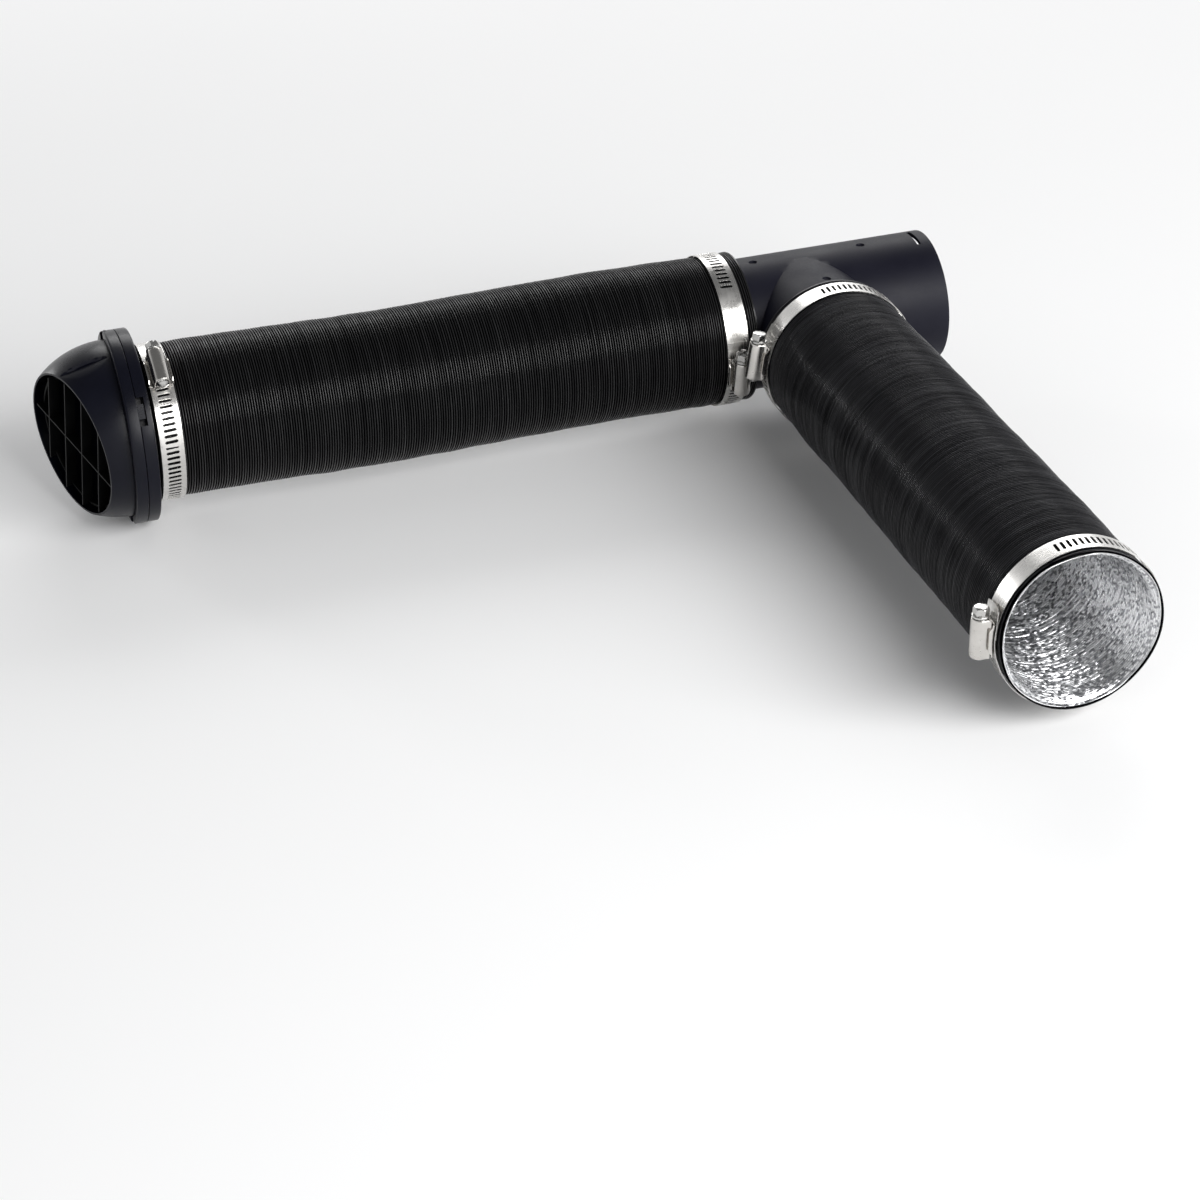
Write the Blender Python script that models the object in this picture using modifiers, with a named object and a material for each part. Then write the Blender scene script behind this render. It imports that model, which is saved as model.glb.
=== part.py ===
# Warm-air outlet duct assembly, 75 mm: an equal tee, two lengths of flexible foil-lined duct,
# a directional outlet vent and four worm-drive clamps.
#
# Frame: metres, +Z up.  The main run lies along X (vent at -X, open arm of the tee at +X), and the
# branch duct leaves the tee along -Y.  The origin is under the middle of the whole object, at the
# level that its lowest point stands on.
#
# The dimensions are in millimetres and are turned into metres by MM.
import bpy
import bmesh
import math
from mathutils import Matrix, Vector

MM = 0.001
SEG = 40                      # sides of every round part

# ---------------------------------------------------------------- driving dimensions (mm)
SPIGOT_R = 37.5               # 75 mm spigots
TEE_BORE_R = 35.2
TEE_ARM = 78.0                # main axis half length
TEE_BRANCH = 92.0             # branch length from the main axis
MARK_VENT_SIDE = 27.0         # shallow round recesses that mark how far a duct goes on, from the branch axis
MARK_OPEN_SIDE = 38.0
MARK_BRANCH = 36.0            # the same on the branch, from the main axis
MARK_DEPTH = 1.1
LINER_R = (37.8, 39.3)        # foil
SKIN_R = (39.6, 42.4)         # black corrugated wrap
BAND_R = (42.7, 43.3)
BAND_W = 12.7
HOUSING_R = 48.6              # radius of the clamp screw's axis

# the outlet duct, distances along -X from the branch axis
OUT_START, OUT_END = 38.0, 380.2
OUT_CUTS = (38.0, 76.0, 165.0, 215.0, 265.0, 340.0, 380.2)
OUT_PIVOTS = (190.0, 240.0)
CLAMP2_AT = 51.15             # band centres
CLAMP1_AT = 371.35
# the branch duct, distances along -Y from the main axis
BR_START, BR_END = 50.0, 384.3
BR_CUTS = (50.0, 92.0, 175.0, 225.0, 275.0, 344.0, 384.3)
BR_PIVOTS = (200.0, 250.0)
CLAMP3_AT = 61.9
CLAMP4_AT = 373.45

# the vent, distances along -X
FLANGE_R = 53.0
VENT_BACK = 380.8             # rear face of the base flange
VENT_SEAM = 387.4             # split between base and bezel
VENT_FRONT = 394.2            # front of the bezel
HOOD_R = 48.4                 # hood radius at its foot
HOOD_DEPTH = 51.4             # half axis of the dome along the duct
HOOD_T = 2.2
OPEN_TILT = math.radians(20)  # the outlet opening's lean from the duct's axis
OPEN_ROLL = math.radians(-10) # how far the hood is swivelled round in its base
OPEN_AT = 27.5                # opening plane, from the dome's centre
GRILLE_R = 37.9
GRILLE_TURN = math.radians(-7.5)  # the blades' turn in the opening

# where the junction of the two axes stands in the object's frame
JX = (VENT_FRONT + 40.0 - TEE_ARM) / 2
JY = (BR_END - FLANGE_R) / 2
JZ = FLANGE_R
JUNCTION = Vector((JX, JY, JZ)) * MM

# local +Z of a part runs outward along its arm
ALONG = {
    "-X": Matrix.Rotation(math.radians(-90), 4, "Y"),
    "+X": Matrix.Rotation(math.radians(90), 4, "Y"),
    "-Y": Matrix.Rotation(math.radians(90), 4, "X"),
}

# ---------------------------------------------------------------- scene
for o in list(bpy.data.objects):
    bpy.data.objects.remove(o, do_unlink=True)
parts = bpy.data.collections.new("warm_air_duct_assembly")
cutters = bpy.data.collections.new("cutters")
bpy.context.scene.collection.children.link(parts)
bpy.context.scene.collection.children.link(cutters)


def material(name, color, rough, metal):
    m = bpy.data.materials.new(name)
    m.use_nodes = True
    b = m.node_tree.nodes["Principled BSDF"]
    b.inputs["Base Color"].default_value = (*color, 1)
    b.inputs["Roughness"].default_value = rough
    b.inputs["Metallic"].default_value = metal
    m.diffuse_color = (*color, 1)
    return m


FINISH = {
    "plastic": ((0.018, 0.019, 0.023), 0.42, 0.0),
    "skin": ((0.012, 0.012, 0.013), 0.38, 0.0),
    "foil": ((0.82, 0.83, 0.85), 0.28, 1.0),
    "band": ((0.70, 0.69, 0.66), 0.26, 1.0),
    "screw": ((0.74, 0.73, 0.70), 0.32, 1.0),
    "grille": ((0.014, 0.014, 0.016), 0.5, 0.0),
}


def empty(name, at):
    e = bpy.data.objects.new(name, None)
    e.location = JUNCTION + Vector(at) * MM
    parts.objects.link(e)
    return e


def put(obj, frame, parent=None, coll=parts):
    """place obj by frame (a matrix in millimetres from the junction), under parent where it has one"""
    for c in list(obj.users_collection):
        c.objects.unlink(obj)
    coll.objects.link(obj)
    m = Matrix.Translation(JUNCTION) @ Matrix.Translation(frame.to_translation() * MM) @ frame.to_3x3().to_4x4()
    if parent is not None:
        obj.parent = parent
        m = Matrix.Translation(-parent.location) @ m
    obj.matrix_basis = m
    return obj


def finish(obj, kind):
    c, r, me = FINISH[kind]
    obj.data.materials.clear()
    obj.data.materials.append(material(obj.name + "_" + kind, c, r, me))
    obj.data.shade_smooth()
    obj.data.set_sharp_from_angle(angle=math.radians(35))
    return obj


def from_bmesh(bm, name):
    me = bpy.data.meshes.new(name)
    bmesh.ops.recalc_face_normals(bm, faces=bm.faces[:])
    bm.to_mesh(me)
    bm.free()
    return bpy.data.objects.new(name, me)


def turned(name, profile, frame, kind, parent=None, steps=SEG, coll=parts):
    """a closed outline of (radius, distance along the axis), turned about local Z"""
    me = bpy.data.meshes.new(name)
    n = len(profile)
    me.from_pydata([(r * MM, 0, z * MM) for r, z in profile], [(i, (i + 1) % n) for i in range(n)], [])
    o = bpy.data.objects.new(name, me)
    s = o.modifiers.new("turn", "SCREW")
    s.axis = "Z"
    s.angle = 2 * math.pi
    s.steps = s.render_steps = steps
    s.use_merge_vertices = True
    s.merge_threshold = 0.00001
    put(o, frame, parent, coll)
    bpy.context.view_layer.update()
    # kept as a mesh, so that cuts and sharp edges work on it
    dg = bpy.context.evaluated_depsgraph_get()
    made = bpy.data.meshes.new_from_object(o.evaluated_get(dg))
    o.modifiers.clear()
    old = o.data
    o.data = made
    bpy.data.meshes.remove(old)
    made.name = name
    bm = bmesh.new()
    bm.from_mesh(made)
    bmesh.ops.recalc_face_normals(bm, faces=bm.faces[:])
    bm.to_mesh(made)
    bm.free()
    if kind:
        finish(o, kind)
    return o


def tube(name, ri, ro, z0, z1, frame, kind, parent=None):
    return turned(name, [(ro, z1), (ro, z0), (ri, z0), (ri, z1)], frame, kind, parent)


def block(name, size, frame, coll=cutters):
    """a box of size (mm) about frame's origin"""
    bm = bmesh.new()
    bmesh.ops.create_cube(bm, size=1.0)
    bmesh.ops.scale(bm, vec=Vector(size) * MM, verts=bm.verts)
    o = from_bmesh(bm, name)
    return put(o, frame, None, coll)


def cylinder(name, r, length, frame, steps=SEG, coll=cutters, r2=None):
    """a cylinder from the frame's origin along its local Z"""
    bm = bmesh.new()
    bmesh.ops.create_cone(bm, cap_ends=True, segments=steps, radius1=r * MM, radius2=(r if r2 is None else r2) * MM, depth=length * MM)
    bmesh.ops.translate(bm, verts=bm.verts, vec=(0, 0, length * MM / 2))
    o = from_bmesh(bm, name)
    return put(o, frame, None, coll)


def boolean(obj, other, op="DIFFERENCE"):
    b = obj.modifiers.new(op.lower() + "_" + other.name, "BOOLEAN")
    b.operation = op
    b.object = other
    b.solver = "EXACT"
    other.hide_render = True
    other.display_type = "WIRE"
    return b


def settle(obj):
    """apply the modifiers, so that the result can be shaded and checked"""
    bpy.context.view_layer.update()
    dg = bpy.context.evaluated_depsgraph_get()
    made = bpy.data.meshes.new_from_object(obj.evaluated_get(dg))
    obj.modifiers.clear()
    obj.data = made
    bm = bmesh.new()
    bm.from_mesh(made)
    bmesh.ops.remove_doubles(bm, verts=bm.verts, dist=0.00002)
    bmesh.ops.dissolve_degenerate(bm, edges=bm.edges, dist=0.00001)
    bm.to_mesh(made)
    bm.free()
    return obj


def on_arm(arm, angle_deg, dist, radius=0.0):
    """frame on an arm: local X radial, local Y tangential, local Z outward along the arm"""
    return ALONG[arm] @ Matrix.Rotation(math.radians(angle_deg), 4, "Z") @ Matrix.Translation((radius, 0, dist))


I4 = Matrix.Identity(4)

# ---------------------------------------------------------------- joints' empties
out_stretch = empty("outlet_stretch_frame", (-OUT_CUTS[1], 0, 0))
out_bend1 = empty("outlet_bend_1_frame", (-OUT_PIVOTS[0], 0, 0))
out_bend2 = empty("outlet_bend_2_frame", (-OUT_PIVOTS[1], 0, 0))
out_end = empty("outlet_end_frame", (-OUT_CUTS[4], 0, 0))
br_stretch = empty("branch_stretch_frame", (0, -BR_CUTS[1], 0))
br_bend1 = empty("branch_bend_1_frame", (0, -BR_PIVOTS[0], 0))
br_bend2 = empty("branch_bend_2_frame", (0, -BR_PIVOTS[1], 0))
br_end = empty("branch_end_frame", (0, -BR_CUTS[4], 0))
hood_pivot = empty("hood_pivot_frame", (-VENT_SEAM, 0, 0))

# ---------------------------------------------------------------- tee
tee = cylinder("tee_body", SPIGOT_R, 2 * TEE_ARM, ALONG["+X"] @ Matrix.Translation((0, 0, -TEE_ARM)), coll=parts)
arm = cylinder("tee_branch_solid", SPIGOT_R, TEE_BRANCH, ALONG["-Y"])
boolean(tee, arm, "UNION")
for k, (a, ang, dist) in enumerate(
    [("-X", 0, MARK_VENT_SIDE), ("-X", 90, MARK_VENT_SIDE), ("-X", 180, MARK_VENT_SIDE),
     ("+X", 0, MARK_OPEN_SIDE), ("+X", 90, MARK_OPEN_SIDE), ("+X", 180, MARK_OPEN_SIDE),
     ("-Y", 84, MARK_BRANCH), ("-Y", -84, MARK_BRANCH)]
):
    fr = on_arm(a, ang, dist, SPIGOT_R - MARK_DEPTH) @ Matrix.Rotation(math.radians(90), 4, "Y")
    boolean(tee, cylinder(f"tee_mark_{k}", 2.5, 2.7, fr, steps=12))
boolean(tee, cylinder("tee_bore", TEE_BORE_R, 2 * TEE_ARM + 20, ALONG["+X"] @ Matrix.Translation((0, 0, -TEE_ARM - 10))))
boolean(tee, cylinder("tee_branch_bore", TEE_BORE_R, TEE_BRANCH + 10, ALONG["-Y"]))
for k, ang in enumerate((0, 180)):
    boolean(tee, block(f"tee_latch_slot_{k}", (12, 18, 2.6), on_arm("+X", ang, 70.5, SPIGOT_R)))
finish(settle(tee), "plastic")

# ---------------------------------------------------------------- ducts
NAMES = ("collar", "stretch_near", "bend_near", "bend_far", "stretch_far", "end")


def duct(prefix, arm_dir, cuts, frames):
    for i, (nm, parent) in enumerate(zip(NAMES, frames)):
        z0, z1 = cuts[i] + (0.2 if i else 0.0), cuts[i + 1] - (0.2 if i < 5 else 0.0)
        tube(f"{prefix}_skin_{nm}", SKIN_R[0], SKIN_R[1], z0, z1, ALONG[arm_dir], "skin", parent)
        tube(f"{prefix}_foil_{nm}", LINER_R[0], LINER_R[1], z0, z1, ALONG[arm_dir], "foil", parent)


duct("outlet_duct", "-X", OUT_CUTS, (None, out_stretch, out_bend1, out_bend2, out_end, out_end))
duct("branch_duct", "-Y", BR_CUTS, (None, br_stretch, br_bend1, br_bend2, br_end, br_end))


# ---------------------------------------------------------------- clamps
def clamp(k, arm_dir, angle_deg, dist, head, tail_side, tail_deg, parent):
    """a worm-drive clamp; head is +1 or -1 for the side, counted along the angle, that its hex head points to"""
    place = on_arm(arm_dir, angle_deg, dist)
    flip = Matrix.Rotation(math.radians(180), 4, "X") if head < 0 else I4
    F = place @ flip
    pre = f"clamp_{k}"
    # band: a full turn, and its free end lying on it beside the housing
    band = tube(f"{pre}_band", BAND_R[0], BAND_R[1], -BAND_W / 2, BAND_W / 2, F, None, parent)
    bm = bmesh.new()
    n, a0, a1 = 10, math.radians(8.0), math.radians(tail_deg)
    ring = []
    for i in range(n + 1):
        t = (a0 + (a1 - a0) * i / n) * tail_side
        row = []
        for r, z in ((BAND_R[1] - 0.3, -1), (BAND_R[1] + 0.65, -1), (BAND_R[1] + 0.65, 1), (BAND_R[1] - 0.3, 1)):
            row.append(bm.verts.new((r * MM * math.cos(t), r * MM * math.sin(t), z * (BAND_W / 2 - 0.05) * MM)))
        ring.append(row)
    for a, b in zip(ring, ring[1:]):
        for j in range(4):
            bm.faces.new((a[j], a[(j + 1) % 4], b[(j + 1) % 4], b[j]))
    bm.faces.new(ring[0])
    bm.faces.new(ring[-1])
    tail = put(from_bmesh(bm, f"{pre}_tail"), F, None, cutters)
    boolean(band, tail, "UNION")
    finish(settle(band), "band")
    # saddle: a plate on the band with an ear up each side of the housing
    sr = BAND_R[1] + 1.0
    saddle = block(f"{pre}_saddle", (0.8, 16.0, 13.6), F @ Matrix.Translation((sr + 0.4, 0, 0)), parts)
    for s in (-1, 1):
        boolean(saddle, block(f"{pre}_ear_{s}", (3.2, 12.0, 1.0), F @ Matrix.Translation((sr + 1.6, 0, s * 6.3))), "UNION")
    if parent is not None:
        fr = saddle.matrix_basis.copy()
        saddle.parent = parent
        saddle.matrix_basis = Matrix.Translation(-parent.location) @ fr
    finish(settle(saddle), "band")
    # housing: an arched shell over the worm
    bm = bmesh.new()
    pts = []
    ro, ri, foot = 4.7, 3.7, sr + 1.15 - HOUSING_R
    for i in range(9):
        t = math.pi * i / 8
        pts.append((ro * math.sin(t), -ro * math.cos(t)))
    inner = [(ri * math.sin(t), -ri * math.cos(t)) for t in [math.pi * i / 8 for i in range(9)]]
    outline = [(foot, -ro)] + pts + [(foot, ro), (foot, ri)] + inner[::-1] + [(foot, -ri)]
    ends = []
    for y in (-10.5, 10.5):
        ends.append([bm.verts.new(((HOUSING_R + x) * MM, y * MM, z * MM)) for x, z in outline])
    m = len(outline)
    for j in range(m):
        bm.faces.new((ends[0][j], ends[0][(j + 1) % m], ends[1][(j + 1) % m], ends[1][j]))
    bm.faces.new(ends[0])
    bm.faces.new(ends[1])
    housing = put(from_bmesh(bm, f"{pre}_housing"), F, parent)
    finish(housing, "band")
    # screw: hex head, collar, worm and point on one axis
    axis = F @ Matrix.Translation((HOUSING_R, 0, 0)) @ Matrix.Rotation(math.radians(-90), 4, "X")
    pivot = empty(f"{pre}_screw_frame", (0, 0, 0))
    w = axis.to_translation() * MM
    pivot.location = (w if parent is None else w + JUNCTION - parent.location) if parent is not None else JUNCTION + w
    if parent is not None:
        pivot.parent = parent
    prof = [(0, 16.2), (3.0, 16.2), (3.6, 15.6), (3.6, 12.2), (4.2, 12.0), (4.2, 11.0), (3.1, 10.9), (3.1, -11.2), (1.2, -12.6), (0, -12.6)]
    bm = bmesh.new()
    steps = 12
    rings = []
    for r, z in prof[1:-1]:
        sides = []
        for i in range(steps):
            t = 2 * math.pi * i / steps
            rr = r
            if 12.1 < z < 16.0:
                rr = r * (1.0 if i % 2 else 1.0 / math.cos(math.pi / 6)) * 0.97
            sides.append(bm.verts.new((rr * MM * math.cos(t), rr * MM * math.sin(t), z * MM)))
        rings.append(sides)
    for a, b in zip(rings, rings[1:]):
        for i in range(steps):
            bm.faces.new((a[i], a[(i + 1) % steps], b[(i + 1) % steps], b[i]))
    bm.faces.new(rings[0])
    bm.faces.new(rings[-1])
    screw = from_bmesh(bm, f"{pre}_screw")
    parts.objects.link(screw)
    screw.parent = pivot
    screw.matrix_basis = axis.to_3x3().to_4x4()
    finish(screw, "screw")


# angles are counted in each arm's own frame: 0 is the top on the main run, +X on the branch
clamp(1, "-X", 61 - 90, CLAMP1_AT, 1, -1, 55, out_end)
clamp(2, "-X", -10 - 90, CLAMP2_AT, 1, 1, 24, None)
clamp(3, "-Y", 180 - 9, CLAMP3_AT, -1, 1, 27, None)
clamp(4, "-Y", 180 - 2, CLAMP4_AT, -1, 1, 22, br_end)

# ---------------------------------------------------------------- vent
ax = ALONG["-X"]
base = turned("vent_base", [(FLANGE_R, VENT_SEAM), (FLANGE_R, VENT_BACK), (SPIGOT_R, VENT_BACK), (SPIGOT_R, 345.0), (35.5, 345.0), (35.5, VENT_SEAM)],
              ax, None, out_end)
clips = (33 - 90, 213 - 90)
for k, a in enumerate(clips):
    boolean(base, block(f"clip_recess_{k}", (4.0, 15.0, 9.0), on_arm("-X", a, VENT_SEAM, FLANGE_R)))
finish(settle(base), "plastic")

bezel = turned("vent_bezel", [(FLANGE_R, VENT_FRONT), (FLANGE_R, VENT_SEAM + 0.3), (50.7, VENT_SEAM + 0.3), (50.7, 391.0), (48.9, 391.0), (48.9, VENT_FRONT)],
               ax, None, out_end)
for k, a in enumerate(clips):
    boolean(bezel, block(f"clip_tab_{k}", (1.3, 12.6, 5.2), on_arm("-X", a, VENT_SEAM - 1.2, FLANGE_R - 1.1)), "UNION")
recess = (112 - 90, 292 - 90)
for k, a in enumerate(recess):
    boolean(bezel, cylinder(f"screw_pocket_{k}", 2.9, 2.6, on_arm("-X", a, VENT_FRONT - 2.4, 51.0), steps=16))
finish(settle(bezel), "plastic")
for k, a in enumerate(recess):
    o = cylinder(f"vent_screw_{k + 1}", 2.4, 1.4, on_arm("-X", a, VENT_FRONT - 2.1, 51.0), steps=12, coll=parts)
    fr = o.matrix_basis.copy()
    o.parent = out_end
    o.matrix_basis = Matrix.Translation(-out_end.location) @ fr
    finish(o, "screw")

# hood: foot flange inside the bezel, short skirt, dome
prof = [(50.3, 390.6), (50.3, 388.1), (46.4, 388.1)]
zc = VENT_FRONT - 0.2
N = 12
for i in range(N + 1):
    t = math.radians(80) * i / N
    prof.append(((HOOD_R - HOOD_T) * math.cos(t), zc + (HOOD_DEPTH - HOOD_T) * math.sin(t)))
for i in range(N, -1, -1):
    t = math.radians(80) * i / N
    prof.append((HOOD_R * math.cos(t), zc + HOOD_DEPTH * math.sin(t)))
prof.append((HOOD_R, 390.6))
prof[2] = (HOOD_R - HOOD_T, 388.1)
hood = turned("vent_hood", prof[::-1], ax, None, hood_pivot)
# the opening's frame: local Z is the opening's normal, local X lies across the blades
lean = ax @ Matrix.Translation((0, 0, zc)) @ Matrix.Rotation(OPEN_ROLL, 4, "Z") @ Matrix.Rotation(OPEN_TILT, 4, "X")
boolean(hood, block("hood_cut", (140, 140, 60), lean @ Matrix.Translation((0, 0, OPEN_AT + 30))))
finish(settle(hood), "plastic")

# grille: a ring, four blades and a cross bar in the opening
g0 = OPEN_AT - 6.5
lean = lean @ Matrix.Rotation(GRILLE_TURN, 4, "Z")
grille = turned("vent_grille", [(GRILLE_R, g0 + 5.0), (GRILLE_R, g0), (GRILLE_R - 1.8, g0), (GRILLE_R - 1.8, g0 + 5.0)], lean, None, None)
for k in range(4):
    x = -25.5 + 17.0 * k
    half = math.sqrt((GRILLE_R - 0.9) ** 2 - x ** 2)
    boolean(grille, block(f"blade_{k}", (2 * half, 1.0, 6.0), lean @ Matrix.Translation((0, x, g0 + 3.2))), "UNION")
boolean(grille, block("cross_bar", (1.2, 2 * GRILLE_R - 1.8, 5.2), lean @ Matrix.Translation((0, 0, g0 + 3.4))), "UNION")
settle(grille)
fr = grille.matrix_basis.copy()
grille.parent = hood_pivot
grille.matrix_basis = Matrix.Translation(-hood_pivot.location) @ fr
finish(grille, "grille")
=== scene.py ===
# The looks of the warm-air duct assembly: corrugated ducts, slotted clamp bands, tee and vent,
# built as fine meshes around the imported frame.  Lengths below are millimetres unless noted.
import math

import bmesh
import bpy
import numpy as np
from mathutils import Matrix, Vector

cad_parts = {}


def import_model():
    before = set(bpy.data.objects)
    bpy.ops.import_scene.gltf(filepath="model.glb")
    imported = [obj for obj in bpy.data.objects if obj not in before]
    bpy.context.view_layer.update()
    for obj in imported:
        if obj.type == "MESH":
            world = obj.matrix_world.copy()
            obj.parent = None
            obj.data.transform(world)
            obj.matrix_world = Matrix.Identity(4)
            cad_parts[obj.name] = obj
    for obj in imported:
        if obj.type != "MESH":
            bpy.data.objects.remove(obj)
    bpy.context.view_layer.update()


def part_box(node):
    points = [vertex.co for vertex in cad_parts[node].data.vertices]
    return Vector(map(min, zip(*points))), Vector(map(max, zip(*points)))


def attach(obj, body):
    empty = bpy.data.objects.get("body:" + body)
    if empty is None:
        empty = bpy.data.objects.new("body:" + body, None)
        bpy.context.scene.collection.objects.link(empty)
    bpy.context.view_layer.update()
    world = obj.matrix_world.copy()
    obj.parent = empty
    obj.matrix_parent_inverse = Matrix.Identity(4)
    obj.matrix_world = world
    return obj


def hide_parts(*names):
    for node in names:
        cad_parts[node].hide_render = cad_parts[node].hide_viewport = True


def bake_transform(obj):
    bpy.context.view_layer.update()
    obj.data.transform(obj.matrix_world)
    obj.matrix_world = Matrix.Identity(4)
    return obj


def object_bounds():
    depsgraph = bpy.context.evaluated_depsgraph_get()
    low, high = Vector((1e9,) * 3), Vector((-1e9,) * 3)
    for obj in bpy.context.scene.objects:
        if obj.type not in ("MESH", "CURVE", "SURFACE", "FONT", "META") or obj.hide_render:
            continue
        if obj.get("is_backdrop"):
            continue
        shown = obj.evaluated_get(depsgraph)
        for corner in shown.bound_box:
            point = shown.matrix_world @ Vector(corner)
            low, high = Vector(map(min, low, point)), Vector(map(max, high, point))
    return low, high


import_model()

MM = 0.001
TAU = 2 * math.pi
lo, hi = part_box("tee_body")
J = Vector(((lo.x + hi.x) / 2, lo.y + 0.092, (lo.z + hi.z) / 2))   # where the two axes meet
RNG = np.random.RandomState(41)

ALONG = {
    "-X": Matrix.Rotation(math.radians(-90), 4, "Y"),
    "+X": Matrix.Rotation(math.radians(90), 4, "Y"),
    "-Y": Matrix.Rotation(math.radians(90), 4, "X"),
}


def world(P, M):
    """points in frame M (millimetres from the junction), in metres in the row frame"""
    A = np.array(M.to_3x3())
    return (np.asarray(P, float) @ A.T + np.array(M.to_translation())) * MM + np.array(J)


def on_arm(arm, angle_deg, dist, radius=0.0):
    return ALONG[arm] @ Matrix.Rotation(math.radians(angle_deg), 4, "Z") @ Matrix.Translation((radius, 0, dist))


# ------------------------------------------------------------------ materials
def nodes_of(name):
    m = bpy.data.materials.new(name)
    m.use_nodes = True
    return m, m.node_tree, m.node_tree.nodes["Principled BSDF"]


def nd(nt, kind, **kw):
    n = nt.nodes.new(kind)
    for k, v in kw.items():
        if k in n.inputs.keys():
            n.inputs[k].default_value = v
        else:
            setattr(n, k, v)
    return n


def mapped(nt, scale):
    """object coordinates in metres, multiplied by scale (three numbers)"""
    tc = nd(nt, "ShaderNodeTexCoord")
    mp = nd(nt, "ShaderNodeMapping")
    mp.inputs["Scale"].default_value = scale
    nt.links.new(tc.outputs["Object"], mp.inputs["Vector"])
    return mp.outputs["Vector"]


def noise(nt, vec, scale, detail=3.0, rough=0.55):
    n = nd(nt, "ShaderNodeTexNoise")
    n.inputs["Scale"].default_value = scale
    n.inputs["Detail"].default_value = detail
    n.inputs["Roughness"].default_value = rough
    nt.links.new(vec, n.inputs["Vector"])
    return n.outputs["Fac"]


def span(nt, val, a, b, c, d):
    """val from a..b to c..d"""
    n = nd(nt, "ShaderNodeMapRange")
    for k, v in (("From Min", a), ("From Max", b), ("To Min", c), ("To Max", d)):
        n.inputs[k].default_value = v
    nt.links.new(val, n.inputs["Value"])
    return n.outputs["Result"]


def mix_colour(nt, fac, c0, c1):
    n = nd(nt, "ShaderNodeMix", data_type="RGBA")
    a, b = n.inputs[6], n.inputs[7]
    for sock, c in ((a, c0), (b, c1)):
        if isinstance(c, tuple):
            sock.default_value = (*c, 1)
        else:
            nt.links.new(c, sock)
    nt.links.new(fac, n.inputs["Factor"])
    return n.outputs[2]


def maths(nt, op, a, b=None):
    n = nd(nt, "ShaderNodeMath", operation=op)
    for i, v in enumerate((a, b)):
        if v is None:
            continue
        if isinstance(v, (int, float)):
            n.inputs[i].default_value = v
        else:
            nt.links.new(v, n.inputs[i])
    return n.outputs[0]


def bump(nt, height, dist_mm, strength=1.0, normal=None):
    n = nd(nt, "ShaderNodeBump")
    n.inputs["Strength"].default_value = strength
    n.inputs["Distance"].default_value = dist_mm * MM
    nt.links.new(height, n.inputs["Height"])
    if normal is not None:
        nt.links.new(normal, n.inputs["Normal"])
    return n.outputs["Normal"]


def attr(nt, name):
    n = nd(nt, "ShaderNodeAttribute", attribute_name=name)
    return n.outputs["Fac"]


def plastic(name, base, worn, rough=(0.36, 0.5), grain=2600, grain_mm=0.012, spec=0.5):
    """moulded plastic: fine eroded grain, faint flow clouds and a little handling polish"""
    m, nt, b = nodes_of(name)
    v = mapped(nt, (1, 1, 1))
    cloud = noise(nt, v, 38, 4)
    fine = noise(nt, v, 900, 3)
    g = noise(nt, v, grain, 2, 0.6)
    fac = span(nt, cloud, 0.35, 0.68, 0, 1)
    nt.links.new(mix_colour(nt, fac, base, worn), b.inputs["Base Color"])
    r = maths(nt, "ADD", span(nt, cloud, 0.3, 0.7, rough[0], rough[1]), span(nt, fine, 0.3, 0.7, -0.035, 0.035))
    nt.links.new(r, b.inputs["Roughness"])
    n1 = bump(nt, g, grain_mm, 1.0)
    nt.links.new(bump(nt, fine, 0.02, 0.6, n1), b.inputs["Normal"])
    b.inputs["Specular IOR Level"].default_value = spec
    return m


def wrap(name, along, base, crest, rough=(0.34, 0.52), spec=0.3, streak=1.0, even=0.62):
    """coated duct wrap; the crests get a painted highlight (a lighter base colour), with streaks running round the duct
    """
    m, nt, b = nodes_of(name)
    k = [26, 26, 26]
    k[along] = 520
    ring = noise(nt, mapped(nt, tuple(k)), 1.0, 4, 0.6)
    v = mapped(nt, (1, 1, 1))
    cloud = noise(nt, v, 30, 3)
    spot = noise(nt, v, 1500, 3, 0.65)
    c = attr(nt, "crest")
    # painted highlight: the base colour turns to the lighter crest colour where the crest attribute is high, varied by
    # the ring streaks
    lift = maths(nt, "MULTIPLY", maths(nt, "POWER", c, 4.0), span(nt, ring, 0.35, 0.72, even, 1.0))
    nt.links.new(mix_colour(nt, lift, base, crest), b.inputs["Base Color"])
    r = maths(nt, "ADD", span(nt, cloud, 0.3, 0.7, rough[0], rough[1]), span(nt, ring, 0.3, 0.7, -0.05, 0.05))
    # matt in the valleys
    nt.links.new(maths(nt, "ADD", r, span(nt, c, 0.45, 0.92, 0.55, 0.0)), b.inputs["Roughness"])
    n1 = bump(nt, ring, 0.03 * streak, 0.5)
    nt.links.new(bump(nt, spot, 0.035, 0.6, n1), b.inputs["Normal"])
    # the crests are rubbed glossy, the valleys hardly reflect
    nt.links.new(maths(nt, "MULTIPLY", lift, spec), b.inputs["Specular IOR Level"])
    return m


def foil(name, along):
    """embossed aluminium foil: dented rings, painted shade in the valleys and dents, small crinkles and wide soft
    patches
    """
    m, nt, b = nodes_of(name)
    v = mapped(nt, (1, 1, 1))
    wide = noise(nt, v, 70, 3)
    crinkle = noise(nt, v, 1500, 2, 0.5)
    mark = attr(nt, "mark")
    # painted shade: the mark attribute darkens the base colour in the ring valleys and in the pressed dents; the
    # crinkle noise adds a random tone
    tone = maths(nt, "MULTIPLY", mark, span(nt, crinkle, 0.3, 0.6, 0.72, 1.0))
    nt.links.new(mix_colour(nt, tone, (0.22, 0.225, 0.245), (0.98, 0.982, 0.988)), b.inputs["Base Color"])
    b.inputs["Metallic"].default_value = 1.0
    nt.links.new(span(nt, wide, 0.3, 0.7, 0.25, 0.33), b.inputs["Roughness"])
    nt.links.new(bump(nt, crinkle, 0.07, 0.6), b.inputs["Normal"])
    return m


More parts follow.
